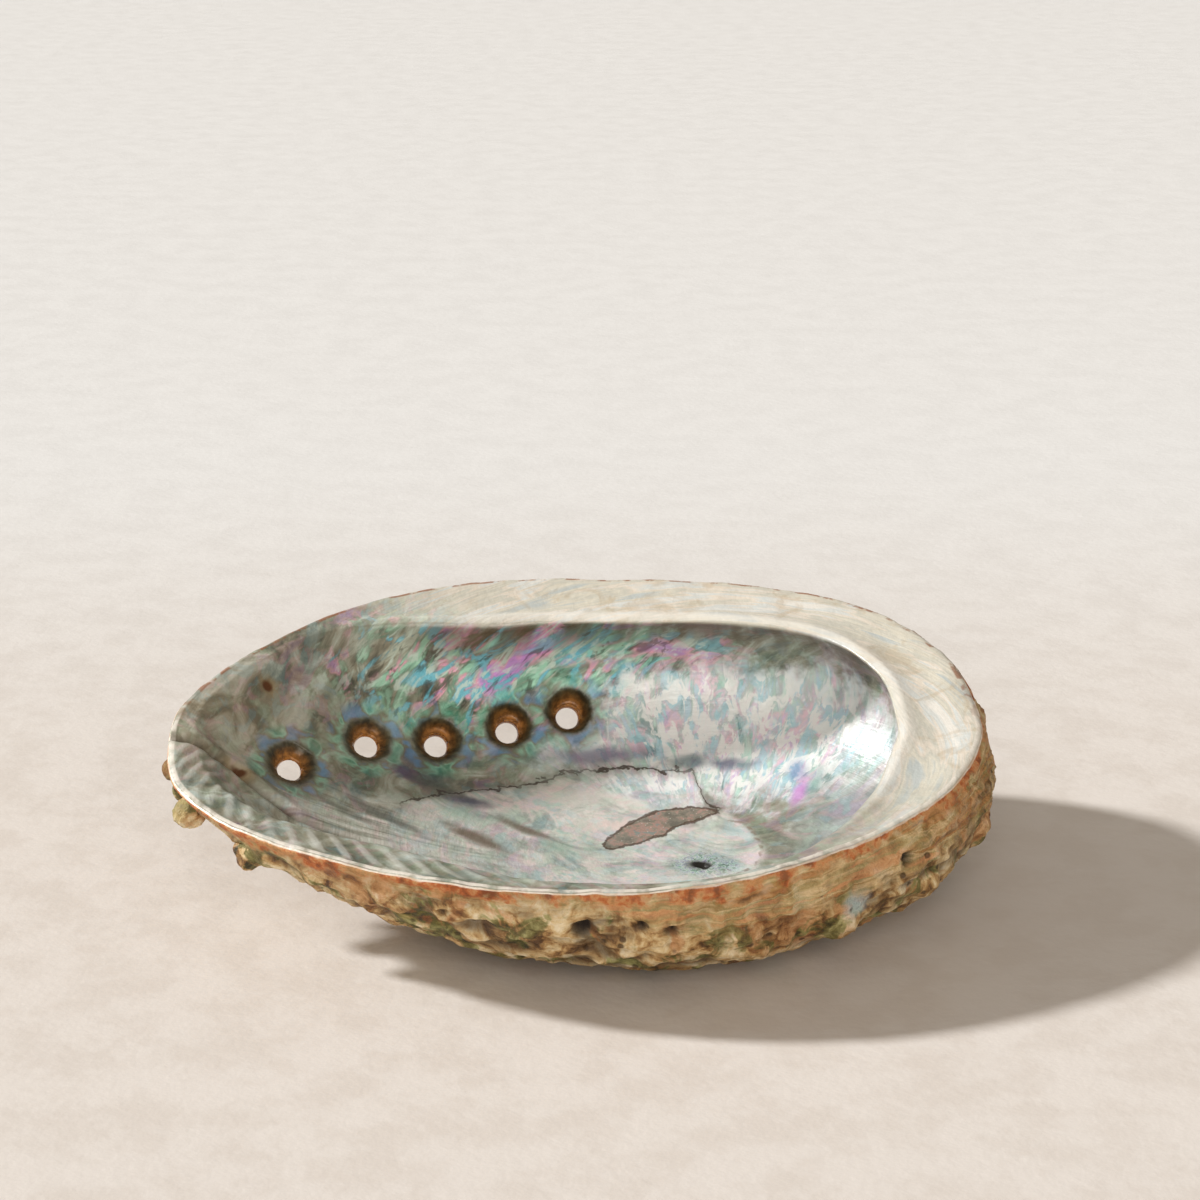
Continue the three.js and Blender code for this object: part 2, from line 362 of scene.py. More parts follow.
def outer_relief(base, normal, below, angle):
    """The outside's full relief as vectors, the hollows' depth and the rise of the crust."""
    rise = crust_relief(base, below, angle)
    for middle, radius, height in knobs():
        gap = np.linalg.norm(base - middle, axis=1)
        dome = smooth(radius * 1.25, radius * 0.25, gap)
        rise = rise * (1 - 0.6 * dome) + height * dome - 0.7 * hump(gap, 0, radius * 0.22)
    hollow = np.zeros(len(base))
    for x, y, z, radius in PITS:
        gap = np.linalg.norm(base + CENTRE_SHIFT - np.array([x, y, z]), axis=1)
        dip = smooth(radius * 1.1, radius * 0.35, gap)
        rise = rise - PIT_DEPTH * dip
        hollow = np.maximum(hollow, dip)
    moved = normal * rise[:, None]
    for pore in PORE_LIST:
        along, off = pore.measure(base)
        ring = smooth(TURRET_RADIUS, THROAT_RADIUS + 0.5, off)
        ring = ring * (along > 0) * (along < NEAR_PORE[1])
        lift = ring * TURRET_HEIGHT
        moved = moved * (1 - 0.8 * ring[:, None]) + pore.axis * lift[:, None]
    return moved, hollow, rise


# Marks on the floor of the bowl, as turns in degrees about the spire and distances from it.
SEAM_DEG = [-150, -100, -60, 0, 45, 79, 86, 91, 103, 122, 140, 172]
SEAM_REACH = [58, 40, 14, 11, 15, 20.7, 22.5, 30.5, 33, 38, 41.5, 54.3]
BLADE_DEG = [80, 100, 120, 140, 160]
BLADE_REACH = [19.6, 18.6, 17.2, 16.6, 17.4]
BLADE_HALF = [0.8, 3.0, 3.8, 3.0, 0.8]
WHORL_DEG = [-60, 0, 21, 44, 60, 79]
WHORL_REACH = [6.0, 9.6, 11.6, 14.6, 17.4, 17.9]
FLUTE_PITCH = 5.0
FLUTE_SLANT = 1.5
FLUTE_HEIGHT = 0.15
SEAM_STEP = 0.16
BLADE_STEP = 0.14
COIL_HEIGHT = 0.25
SPIRAL_HEIGHT = 0.22
SPIRE_HOLE_DEPTH = 1.6
SPIRE_HOLE_RADIUS = 1.15
CREASE_DEPTH = 1.5
CREASE_LINE = [(-69, -5.6), (-59, -6.2), (-48, -13.2), (-31, -12.6)]
AMBER_PIT = (-59.0, -5.2, 23.9)
PEARL_PIT = (-56.4, 20.2, 30.1)


def polar(base):
    """Turn about the spire in degrees and distance from it, seen from above."""
    gap = base[:, :2] - SPIRE
    return np.degrees(np.arctan2(gap[:, 1], gap[:, 0])), np.linalg.norm(gap, axis=1)


def line_gap(base, line):
    """Distance in plan from a chain of points, and how far along it from 0 to 1."""
    best = np.full(len(base), 1e3)
    share = np.zeros(len(base))
    for index, (a, b) in enumerate(zip(line[:-1], line[1:])):
        a, b = np.array(a, float), np.array(b, float)
        t = np.clip((base[:, :2] - a) @ (b - a) / ((b - a) @ (b - a)), 0, 1)
        gap = np.linalg.norm(base[:, :2] - a - t[:, None] * (b - a), axis=1)
        nearer = gap < best
        best = np.where(nearer, gap, best)
        share = np.where(nearer, (index + t) / (len(line) - 1), share)
    return best, share


def seam_gap(base):
    """Distance from the edge of the floor's pale patch, negative inside it."""
    turn, reach = polar(base)
    return (reach - np.interp(turn, SEAM_DEG, SEAM_REACH, period=360)) * 0.85


def seam_share(base):
    """1 where that edge shows as a dark seam."""
    turn, _ = polar(base)
    return smooth(76, 80, turn) * smooth(176, 168, turn)


def blade_gap(base):
    """Distance from the edge of the brown blade mark, negative inside it."""
    turn, reach = polar(base)
    gap = np.abs(reach - np.interp(turn, BLADE_DEG, BLADE_REACH))
    gap = gap - np.interp(turn, BLADE_DEG, BLADE_HALF)
    beyond = np.maximum(0, BLADE_DEG[0] - turn) + np.maximum(0, turn - BLADE_DEG[-1])
    return gap + beyond * 0.4


def whorl_gap(base):
    """Distance from the faint line that coils into the spire."""
    turn, reach = polar(base)
    gap = np.abs(reach - np.interp(turn, WHORL_DEG, WHORL_REACH))
    beyond = np.maximum(0, WHORL_DEG[0] - turn) + np.maximum(0, turn - WHORL_DEG[-1])
    return gap + beyond * 0.4


def flute_wave(base, u, angle, inside_rim):
    """The near margin's flutes, from -1 to 1, and 0 beyond them."""
    degrees = np.degrees(angle)
    zone = smooth(-179, -170, degrees) * smooth(-80, -112, degrees)
    phase = (u * RIM.length + FLUTE_SLANT * inside_rim) / FLUTE_PITCH
    phase = phase + 0.25 * grain(base, 9, (4, 4, 1), 1)
    fade = smooth(0.5, 1.8, inside_rim) * smooth(14, 5, inside_rim)
    return zone * fade * np.sin(math.tau * phase)


def crease_depth(base):
    """1 in the crease at the left end, fading along it, with the gap to it and the share along."""
    gap, share = line_gap(base, CREASE_LINE)
    return hump(gap, 0, 1.1) * (1 - smooth(0.5, 1.0, share)), gap, share


def inner_relief(base, normal, u, angle, inside_rim):
    """The bowl's and shelf's relief as vectors."""
    turn, reach = polar(base)
    rise = 0.22 * grain(base, 16, (2, 6, 3), 2) + 0.10 * grain(base, 6, (7, 3, 5), 2)
    rise = rise * smooth(0.5, 4, inside_rim)
    rise = rise + FLUTE_HEIGHT * flute_wave(base, u, angle, inside_rim)
    crease, gap, share = crease_depth(base)
    fold = 0.45 * hump(gap, 2.6, 1.4) * (1 - smooth(0.5, 1.0, share))
    rise = rise - CREASE_DEPTH * crease + fold
    gap = seam_gap(base)
    rise = rise + SEAM_STEP * smooth(0.3, -0.3, gap) * smooth(-6, -1, gap) * seam_share(base)
    rise = rise + BLADE_STEP * smooth(0.4, -0.4, blade_gap(base))
    rise = rise + COIL_HEIGHT * hump(whorl_gap(base), 0, 0.9)
    spiral = np.sin(np.radians(turn) - 2.2 * np.log(np.maximum(reach, 0.4)) * 2)
    rise = rise + SPIRAL_HEIGHT * spiral * smooth(9, 3, reach)
    rise = rise - SPIRE_HOLE_DEPTH * hump(reach, 0, SPIRE_HOLE_RADIUS)
    for x, y, z, radius, lift in ((*AMBER_PIT, 1.5, -0.9), (*PEARL_PIT, 1.6, -0.7)):
        rise = rise + lift * hump(np.linalg.norm(base - np.array([x, y, z]), axis=1), 0, radius)
    moved = normal * rise[:, None]
    for pore in PORE_LIST:
        along, off = pore.measure(base, FUNNEL_SHIFT)
        near = (along > NEAR_PORE[0]) & (along < NEAR_PORE[1] * 0.5)
        dip = smooth(FUNNEL_RADIUS, THROAT_RADIUS - 0.3, off) * near
        saucer = smooth(FUNNEL_RADIUS * 1.7, THROAT_RADIUS, off) * near
        moved = moved * (1 - dip[:, None])
        moved = moved + pore.axis * (FUNNEL_SINK * dip + 0.35 * saucer)[:, None]
    return moved


RIM_WAVE = 0.28
NOTCH_DEPTH = 1.3


def rim_relief(base, u, row):
    """Small nicks and waves of the rim itself."""
    near = hump(row, 0.5 * (SHELF_END + RIM_END), 9.0)
    wave = RIM_WAVE * grain(base, 5.5, (1, 1, 6), 3)
    gap = np.linalg.norm(base[:, :2] - np.array(CREASE_LINE[0]), axis=1)
    still = np.zeros_like(near)
    return np.column_stack([still, still, near * (wave - NOTCH_DEPTH * hump(gap, 0, 1.1))])


def build_vertices(u, row):
    """Every vertex of the shell in place, with the values its finishes read."""
    base = surface(u, row)
    normal = facing(u, row)
    x, y, rim_z = RIM.at(u)
    angle = np.arctan2(y, x)
    rim_point = np.column_stack([x, y, rim_z])
    from_rim = np.linalg.norm(base - rim_point, axis=1)
    outside = row > 0.5 * (SHELF_END + RIM_END)
    below = np.where(outside, from_rim, 0.0)
    moved = np.zeros_like(base)
    hollow = np.zeros(len(base))
    rise = np.zeros(len(base))
    o = outside
    moved[o], hollow[o], rise[o] = outer_relief(base[o], normal[o], below[o], angle[o])
    i = ~outside
    moved[i] = inner_relief(base[i], normal[i], u[i], angle[i], from_rim[i])
    placed = base + moved + rim_relief(base, u, row)
    placed[:, 2] = np.maximum(placed[:, 2], 0.0)
    pore_off = np.full(len(base), FAR_FROM_PORE)
    for pore in PORE_LIST:
        along, off = pore.measure(base, FUNNEL_SHIFT)
        near = (along > NEAR_PORE[0]) & (along < NEAR_PORE[1])
        pore_off = np.where(near, np.minimum(pore_off, off), pore_off)
    ring = RIM.length / math.tau
    values = {
        "grow_x": ring * np.cos(math.tau * u),
        "grow_y": ring * np.sin(math.tau * u),
        "grow_z": np.linalg.norm(base[:, :2] - SPIRE, axis=1) + base[:, 2],
        "below": below,
        "from_rim": from_rim,
        "inside": (~outside).astype(float),
        "shelf": shelf_share(angle) * smooth(INNER_END - 1, NOSE_END, row) * i,
        "pore": pore_off,
        "hollow": hollow,
        "rise": rise,
        "near_side": smooth(0.25, -0.1, np.sin(angle)),
        "seam": seam_gap(base),
        "seam_on": seam_share(base),
        "blade": blade_gap(base),
        "whorl": whorl_gap(base),
        "flute": flute_wave(base, u, angle, from_rim) * i,
        "crease": crease_depth(base)[0] * i,
        # Where painted shade falls under the shelf's overhang.
        "undercut_shade": shelf_share(angle) * smooth(INNER_END - 16, INNER_END, row) * (row < NOSE_END),
        # Where the painted highlight lies on the shelf's rounded bead.
        "bead_highlight": shelf_share(angle) * hump(row, NOSE_END + 1.5, 2.0) * i,
    }
    return placed + CENTRE_SHIFT, values


# ---------------------------------------------------------------- mesh
SLOT_NACRE, SLOT_CRUST, SLOT_PORE = 0, 1, 2
FAR_FROM_PORE = 20.0


def near_pore_faces(bm, pore, rows):
    """Faces of the flat layout that will lie close to a pore, on the given rows."""
    bm.verts.index_update()
    flat = np.array([v.co[:2] for v in bm.verts])
    points = surface(flat[:, 0], flat[:, 1])
    along, off = pore.measure(points)
    near = (off < FINE_RADIUS) & (along > NEAR_PORE[0]) & (along < NEAR_PORE[1])
    near &= (flat[:, 1] > rows[0]) & (flat[:, 1] < rows[1])
    return [f for f in bm.faces if all(near[v.index] for v in f.verts)]


def flat_layout():
    """A grid whose x is the way round the rim and whose y is the row, finer at the pores."""
    bm = bmesh.new()
    bmesh.ops.create_grid(bm, x_segments=AROUND, y_segments=LAST_ROW, size=0.5)
    for v in bm.verts:
        v.co.x = v.co.x + 0.5
        v.co.y = round((v.co.y + 0.5) * LAST_ROW)
    for pore in PORE_LIST:
        for rows in ((0, INNER_END), (RIM_END, LAST_ROW)):
            faces = near_pore_faces(bm, pore, rows)
            edges = list({e for f in faces for e in f.edges})
            bmesh.ops.subdivide_edges(bm, edges=edges, cuts=2, use_grid_fill=True)
    return bm


def boundary_loop(bm, pore, along_range):
    """The open edges round a pore, and their vertices."""
    edges = []
    for e in bm.edges:
        if not e.is_boundary:
            continue
        point = np.array(e.verts[0].co[:]) - CENTRE_SHIFT
        along, off = pore.measure(point[None, :])
        if off[0] < FUNNEL_RADIUS and along_range[0] < along[0] < along_range[1]:
            edges.append(e)
    return edges, list({v for e in edges for v in e.verts})


def square_up(pore, verts, radius):
    """Moves an open loop onto a circle about the pore's middle line."""
    points = np.array([v.co[:] for v in verts]) - CENTRE_SHIFT
    along, off = pore.measure(points)
    level = along.mean()
    for v, point, s, d in zip(verts, points, along, off):
        side = (point - pore.mouth - s * pore.axis) / d
        placed = pore.mouth + level * pore.axis + side * radius + CENTRE_SHIFT
        v.co = Vector(placed)


def bore(bm, layer):
    """Opens each pore and joins the bowl to the outside with a short tube."""
    for pore in PORE_LIST:
        points = np.array([v.co[:] for v in bm.verts]) - CENTRE_SHIFT
        along, off = pore.measure(points)
        close = (off < PORE_RADIUS + 0.1) & (along > NEAR_PORE[0]) & (along < NEAR_PORE[1])
        gone = [v for v, c in zip(bm.verts, close) if c]
        inner = [a for v, a, c in zip(bm.verts, along, close) if c and v[layer] > 0.5]
        outer = [a for v, a, c in zip(bm.verts, along, close) if c and v[layer] < 0.5]
        middle = 0.5 * (np.mean(inner) + np.mean(outer))
        bmesh.ops.delete(bm, geom=gone, context="VERTS")
        low_edges, low = boundary_loop(bm, pore, (NEAR_PORE[0], middle))
        high_edges, high = boundary_loop(bm, pore, (middle, NEAR_PORE[1]))
        square_up(pore, low, THROAT_RADIUS)
        square_up(pore, high, PORE_RADIUS)
        made = bmesh.ops.bridge_loops(bm, edges=low_edges + high_edges)
        for f in made["faces"]:
            f.material_index = SLOT_PORE


def add_blisters(bm, layers):
    """Small knobbly bodies sunk into the outside at the left end."""
    for middle, radius in BLISTERS:
        made = bmesh.ops.create_icosphere(bm, subdivisions=4, radius=radius)["verts"]
        bmesh.ops.translate(bm, verts=made, vec=Vector(middle) + Vector(CENTRE_SHIFT))
        points = np.array([v.co[:] for v in made])
        swell = 0.22 * radius * grain(points, 2.4, (2, 2, 8), 3)
        for v, s in zip(made, swell):
            outward = (v.co - Vector(middle) - Vector(CENTRE_SHIFT)).normalized()
            v.co = v.co + outward * s
            v[layers["below"]] = 12.0
            v[layers["pore"]] = FAR_FROM_PORE
            v[layers["rise"]] = 0.4 + s
        for f in {f for v in made for f in v.link_faces}:
            f.material_index = SLOT_CRUST


def build_shell():
    """The shell as one closed mesh."""
    bm = flat_layout()
    flat = np.array([v.co[:2] for v in bm.verts])
    placed, values = build_vertices(flat[:, 0], flat[:, 1])
    layers = {name: bm.verts.layers.float.new(name) for name in values}
    bm.verts.ensure_lookup_table()
    for name, layer in layers.items():
        column = values[name]
        for v in bm.verts:
            v[layer] = column[v.index]
    for f in bm.faces:
        row = sum(v.co.y for v in f.verts) / len(f.verts)
        f.material_index = SLOT_NACRE if row < RIM_END - 2 else SLOT_CRUST
    for v in bm.verts:
        v.co = Vector(placed[v.index])
    bmesh.ops.remove_doubles(bm, verts=bm.verts, dist=1e-3)
    bore(bm, layers["inside"])
    add_blisters(bm, layers)
    bmesh.ops.recalc_face_normals(bm, faces=bm.faces)
    bmesh.ops.scale(bm, vec=(MM, MM, MM), verts=bm.verts)
    for f in bm.faces:
        f.smooth = True
    mesh = bpy.data.meshes.new("shell_body")
    bm.to_mesh(mesh)
    bm.free()
    piece = bpy.data.objects.new("shell_body", mesh)
    bpy.context.scene.collection.objects.link(piece)
    return piece


shell = build_shell()

# ---------------------------------------------------------------- finishes
def colour(red, green, blue):
    """A linear colour from the usual 0 to 255 values."""
    def channel(value):
        share = value / 255
        return share / 12.92 if share <= 0.04045 else ((share + 0.055) / 1.055) ** 2.4

    return (channel(red), channel(green), channel(blue), 1.0)


class Graph:
    """Short calls for the shader nodes that the finishes are made of."""

    def __init__(self, tree):
        self.tree = tree

    def add(self, kind, feeds=None, **settings):
        node = self.tree.nodes.new(kind)
        for name, value in settings.items():
            setattr(node, name, value)
        for name, value in (feeds or {}).items():
            self.feed(node.inputs[name], value)
        return node

    def feed(self, socket, value):
        if isinstance(value, bpy.types.NodeSocket):
            self.tree.links.new(value, socket)
        else:
            socket.default_value = value

    def math(self, operation, a, b=0.0):
        return self.add("ShaderNodeMath", {0: a, 1: b}, operation=operation).outputs[0]

    def rest(self, value):
        """What is left of 1."""
        return self.math("SUBTRACT", 1.0, value)

    def times(self, first, *values):
        for value in values:
            first = self.math("MULTIPLY", first, value)
        return first

    def value(self, name):
        """A number stored on the mesh."""
        return self.add("ShaderNodeAttribute", attribute_name=name).outputs["Fac"]

    def vector(self, x, y, z):
        return self.add("ShaderNodeCombineXYZ", {0: x, 1: y, 2: z}).outputs[0]

    def position(self):
        """The place on the shell in millimetres."""
        place = self.add("ShaderNodeTexCoord").outputs["Object"]
        feeds = {"Vector": place, "Scale": (1000, 1000, 1000)}
        return self.add("ShaderNodeMapping", feeds).outputs[0]

    def laid(self, vector, lengths, turn=(0, 0, 0), shift=(0, 0, 0)):
        """A vector for noise whose grains have these lengths along turned axes."""
        feeds = {
            "Vector": vector, "Location": shift, "Scale": lengths,
            "Rotation": tuple(math.radians(t) for t in turn),
        }
        return self.add("ShaderNodeMapping", feeds, vector_type="TEXTURE").outputs[0]

    def noise(self, vector, detail=3.0, rough=0.55, warp=0.0):
        feeds = {
            "Vector": vector, "Scale": 1.0, "Detail": detail,
            "Roughness": rough, "Distortion": warp,
        }
        return self.add("ShaderNodeTexNoise", feeds).outputs["Fac"]

    def grains(self, vector, length, detail=3.0, rough=0.55, warp=0.0, seed=0.0):
        """Noise with round grains of one length."""
        spread = (length, length, length)
        shift = (seed * 7.3, seed * 3.1, seed * 5.7)
        return self.noise(self.laid(vector, spread, shift=shift), detail, rough, warp)

    def cells(self, vector, length):
        laid = self.laid(vector, (length, length, length))
        return self.add("ShaderNodeTexVoronoi", {"Vector": laid, "Scale": 1.0}).outputs["Distance"]

    def remap(self, value, low, high, start=0.0, end=1.0):
        feeds = {0: value, 1: low, 2: high, 3: start, 4: end}
        return self.add("ShaderNodeMapRange", feeds, interpolation_type="SMOOTHSTEP").outputs[0]

    def ramp(self, value, *stops):
        """A colour that changes over a value; each stop is a value, red, green and blue."""
        node = self.add("ShaderNodeValToRGB", {"Fac": value})
        marks = node.color_ramp.elements
        while len(marks) < len(stops):
            marks.new(0.5)
        for mark, (place, *shade) in zip(marks, stops):
            mark.position = place
            mark.color = colour(*shade)
        return node.outputs["Color"]

    def mix(self, share, a, b, blend="MIX"):
        """A share of b over a, where b may be plain red, green and blue from 0 to 255."""
        if isinstance(b, tuple):
            b = colour(*b)
        node = self.add("ShaderNodeMix", data_type="RGBA", blend_type=blend)
        self.feed(node.inputs["Factor"], share)
        self.feed(node.inputs[6], a)
        self.feed(node.inputs[7], b)
        return node.outputs[2]

    def bump(self, skin, height, distance, strength):
        feeds = {"Height": height, "Distance": distance, "Strength": strength}
        self.feed(skin["Normal"], self.add("ShaderNodeBump", feeds).outputs[0])

    def use(self, group, **feeds):
        node = self.add("ShaderNodeGroup", node_tree=group)
        for name, value in feeds.items():
            self.feed(node.inputs[name.title()], value)
        return node.outputs


def new_group(name, inputs, outputs):
    """An empty node group with named inputs and outputs."""
    tree = bpy.data.node_groups.new(name, "ShaderNodeTree")
    for title, kind, start in inputs:
        socket = tree.interface.new_socket(title, in_out="INPUT", socket_type=kind)
        socket.default_value = start
    for title, kind in outputs:
        tree.interface.new_socket(title, in_out="OUTPUT", socket_type=kind)
    graph = Graph(tree)
    return tree, graph, graph.add("NodeGroupInput").outputs, graph.add("NodeGroupOutput").inputs


def soft_patch_group():
    """1 inside an egg-shaped patch with an uneven edge, 0 outside."""
    tree, g, given, out = new_group(
        "soft_patch",
        [("Position", "NodeSocketVector", (0, 0, 0)), ("Centre", "NodeSocketVector", (0, 0, 0)),
         ("Turn", "NodeSocketVector", (0, 0, 0)), ("Size", "NodeSocketVector", (1, 1, 1)),
         ("Soft", "NodeSocketFloat", 0.5), ("Ragged", "NodeSocketFloat", 0.25),
         ("Edge", "NodeSocketFloat", 0.0)],
        [("Mask", "NodeSocketFloat")])
    feeds = {"Vector": given["Position"], "Location": given["Centre"],
             "Rotation": given["Turn"], "Scale": given["Size"]}
    local = g.add("ShaderNodeMapping", feeds, vector_type="TEXTURE").outputs[0]
    length = g.add("ShaderNodeVectorMath", {0: local}, operation="LENGTH").outputs["Value"]
    length = g.math("ADD", length, g.times(given["Edge"], given["Ragged"], 4.0))
    start = g.rest(given["Soft"])
    inside = g.add("ShaderNodeMapRange", {0: length, 1: 1.0, 2: start, 3: 0.0, 4: 1.0},
                   interpolation_type="SMOOTHSTEP")
    g.feed(out["Mask"], inside.outputs[0])
    return tree


def shimmer_group():
    """The play of colour in nacre: hues, how strong they are, and pale strokes."""
    tree, g, given, out = new_group(
        "shimmer",
        [("Position", "NodeSocketVector", (0, 0, 0)), ("Warp", "NodeSocketFloat", 1.0)],
        [("Colour", "NodeSocketColor"), ("Strength", "NodeSocketFloat"),
         ("Strokes", "NodeSocketFloat")])
    place = given["Position"]
    cool = g.noise(place, 3, 0.6, given["Warp"])
    warm = g.noise(g.laid(place, (1.1, 1.1, 1.1), shift=(7, 3, 1)), 3, 0.6, given["Warp"])
    deep = g.noise(g.laid(place, (0.9, 0.9, 0.9), shift=(3, 9, 4)), 3, 0.6, given["Warp"])
    green = g.ramp(cool, (0.42, 54, 80, 70), (0.51, 90, 140, 116), (0.60, 168, 226, 198))
    rose = g.ramp(warm, (0.49, 160, 104, 128), (0.57, 244, 176, 196), (0.65, 214, 150, 226))
    blue = g.ramp(deep, (0.50, 62, 92, 138), (0.60, 112, 200, 222))
    green_on = g.remap(cool, 0.42, 0.55)
    rose_on = g.remap(warm, 0.48, 0.58)
    blue_on = g.remap(deep, 0.51, 0.61)
    shade = g.mix(blue_on, g.mix(rose_on, green, rose), blue)
    g.feed(out["Colour"], shade)
    g.feed(out["Strength"], g.math("MAXIMUM", green_on, g.math("MAXIMUM", rose_on, blue_on)))
    fine = g.laid(place, (0.55, 0.5, 0.4), shift=(5, 1, 8))
    g.feed(out["Strokes"], g.noise(fine, 3, 0.6, 0.6))
    return tree


def fine_relief_group():
    """A height from growth lines and small grain."""
    tree, g, given, out = new_group(
        "fine_relief",
        [("Position", "NodeSocketVector", (0, 0, 0)), ("Growth", "NodeSocketVector", (0, 0, 0)),
         ("Lines", "NodeSocketFloat", 0.5), ("Grain", "NodeSocketFloat", 0.5)],
        [("Height", "NodeSocketFloat")])
    lines = g.noise(g.laid(given["Growth"], (14, 14, 1.1)), 2, 0.6)
    small = g.grains(given["Position"], 1.3, 2, 0.6)
    g.feed(out["Height"], g.math("ADD", g.times(lines, given["Lines"]),
                                 g.times(small, given["Grain"])))
    return tree


SOFT_PATCH = soft_patch_group()
SHIMMER = shimmer_group()
FINE_RELIEF = fine_relief_group()


def patch(g, place, centre, size, soft=0.6, ragged=0.2, turn=(0, 0, 0)):
    """A soft patch mask at a place on the shell; the turn is in degrees."""
    radians = tuple(math.radians(t) for t in turn)
    return g.use(SOFT_PATCH, position=place, centre=centre, size=size, soft=soft,
                 ragged=ragged, turn=radians, edge=g.edge)["Mask"]


def new_material(name):
    material = bpy.data.materials.new(name)
    material.use_nodes = True
    graph = Graph(material.node_tree)
    graph.edge = graph.math("SUBTRACT", graph.grains(graph.position(), 5.0, 3, 0.6), 0.5)
    return material, graph, material.node_tree.nodes["Principled BSDF"].inputs


def growth(g):
    """Round the rim, then out from the spire, in millimetres."""
    return g.vector(g.value("grow_x"), g.value("grow_y"), g.value("grow_z"))


SLANT = (0, -42, 8)


def nacre_zones(g, place):
    """Masks of the darker far wall (partly painted shade), the pale patch (partly painted
    reflection), both ends, the floor and its ribs.
    """
    zones = {
        # Darker upper far wall: its own darker nacre, partly painted shade below the shelf.
        "dark_nacre_and_shade": patch(g, place, (-12, 43, 27), (54, 26, 20), 0.6, 0.14),
        # Pale patch: pale nacre, partly painted reflection.
        "pale_nacre_and_reflection": patch(g, place, (31, 35, 15), (44, 26, 15), 0.5, 0.25),
        "right": patch(g, place, (52, 2, 14), (24, 34, 22), 0.8, 0.1),
        "left": patch(g, place, (-62, 4, 27), (30, 34, 20), 0.8, 0.1),
        "floor": g.remap(g.value("seam"), 0.6, -1.6),
        "ribs": patch(g, place, (-38, -8, 12), (36, 17, 14), 0.7, 0.15),
    }
    zones["pale_nacre_and_reflection"] = g.times(zones["pale_nacre_and_reflection"], g.rest(zones["right"]))
    clear = g.rest(g.times(zones["pale_nacre_and_reflection"], 0.85))
    zones["dark_nacre_and_shade"] = g.times(zones["dark_nacre_and_shade"], clear)
    return zones


def nacre_ground(g, place, grow, zones):
    """The quiet colour under the shimmer."""
    streak = g.noise(g.laid(place, (22, 9, 6), SLANT), 4, 0.6, 0.9)
    shade = g.ramp(streak, (0.36, 96, 96, 84), (0.46, 136, 132, 114), (0.54, 160, 158, 142),
                   (0.64, 196, 200, 190))
    # The far wall's darker ramp: darker nacre, partly painted shade.
    far = g.ramp(streak, (0.38, 66, 68, 58), (0.46, 116, 112, 94), (0.53, 152, 148, 128),
                 (0.61, 196, 206, 188))
    shade = g.mix(g.times(zones["dark_nacre_and_shade"], 0.9), shade, far)
    warm = g.ramp(streak, (0.38, 124, 113, 92), (0.5, 160, 150, 128), (0.6, 190, 182, 164))
    shade = g.mix(g.times(zones["left"], 0.8), shade, warm)
    cloud = g.noise(g.laid(place, (14, 9, 9), (0, 0, -24)), 4, 0.62, 1.0)
    floor = g.ramp(cloud, (0.36, 148, 154, 150), (0.45, 192, 195, 190), (0.52, 222, 222, 216),
                   (0.58, 238, 226, 222), (0.66, 190, 214, 208))
    shade = g.mix(zones["floor"], shade, floor)
    ribs = g.noise(g.laid(grow, (3.6, 3.6, 40)), 3, 0.6, 0.5)
    ribbed = g.ramp(ribs, (0.36, 124, 124, 114), (0.46, 176, 175, 164), (0.54, 216, 215, 206),
                    (0.62, 236, 233, 226))
    shade = g.mix(g.times(zones["ribs"], 0.75), shade, ribbed)
    # The pale patch's near-white colours: pale nacre, partly painted reflection.
    pale = g.noise(g.laid(grow, (6, 6, 13)), 4, 0.6, 1.0)
    pale_nacre_and_reflection = g.ramp(pale, (0.34, 128, 168, 172), (0.42, 204, 232, 238), (0.49, 238, 248, 255),
                    (0.57, 246, 226, 244), (0.66, 172, 224, 216))
    shade = g.mix(zones["pale_nacre_and_reflection"], shade, pale_nacre_and_reflection)
    return g.mix(g.times(zones["right"], 0.8), shade, (170, 178, 184))


def nacre_play(g, place, grow, shade, zones):
    """Lays the streaks of colour over the ground, with painted highlight strokes and white glints.
    """
    wall = g.use(SHIMMER, position=g.laid(place, (11, 7, 4.6), SLANT), warp=0.8)
    rays = g.use(SHIMMER, position=g.laid(grow, (6, 6, 15), shift=(9, 4, 2)), warp=0.7)
    bands = g.use(SHIMMER, position=g.laid(grow, (22, 22, 5), shift=(4, 9, 1)), warp=0.6)
    power = g.math("MAXIMUM", g.times(zones["dark_nacre_and_shade"], 0.95), g.times(zones["left"], 0.12))
    power = g.math("MAXIMUM", power, 0.14)
    shade = g.mix(g.times(power, wall["Strength"]), shade, wall["Colour"])
    # Pastel over the pale patch: part of its painted reflection.
    pastel = g.mix(0.35, rays["Colour"], (250, 253, 255))
    shade = g.mix(g.times(zones["pale_nacre_and_reflection"], rays["Strength"], 0.7), shade, pastel)
    upper = patch(g, place, (8, 48, 30), (52, 16, 8), 0.7)
    shade = g.mix(g.times(upper, bands["Strength"], 0.7), shade, bands["Colour"])
    soft = g.mix(0.5, bands["Colour"], (206, 206, 192))
    shade = g.mix(g.times(zones["floor"], bands["Strength"], 0.3), shade, soft)
    depth = g.math("ADD", g.times(zones["dark_nacre_and_shade"], 0.6), 0.12)
    dark = g.times(g.remap(wall["Strokes"], 0.46, 0.36), depth)
    shade = g.mix(dark, shade, g.mix(1.0, shade, (118, 116, 104), "MULTIPLY"))
    # Pale strokes on the far wall: painted highlights.
    painted_highlight_strokes = g.math("ADD", g.times(zones["dark_nacre_and_shade"], 0.6), 0.15)
    painted_highlight_strokes = g.times(painted_highlight_strokes, g.remap(wall["Strokes"], 0.53, 0.66))
    shade = g.mix(painted_highlight_strokes, shade, (216, 234, 222))
    # Near-white strokes in the pale patch: painted glints.
    painted_white_glints = g.times(g.remap(rays["Strokes"], 0.47, 0.56), zones["pale_nacre_and_reflection"])
    return g.mix(g.times(painted_white_glints, 0.85), shade, (252, 253, 252))


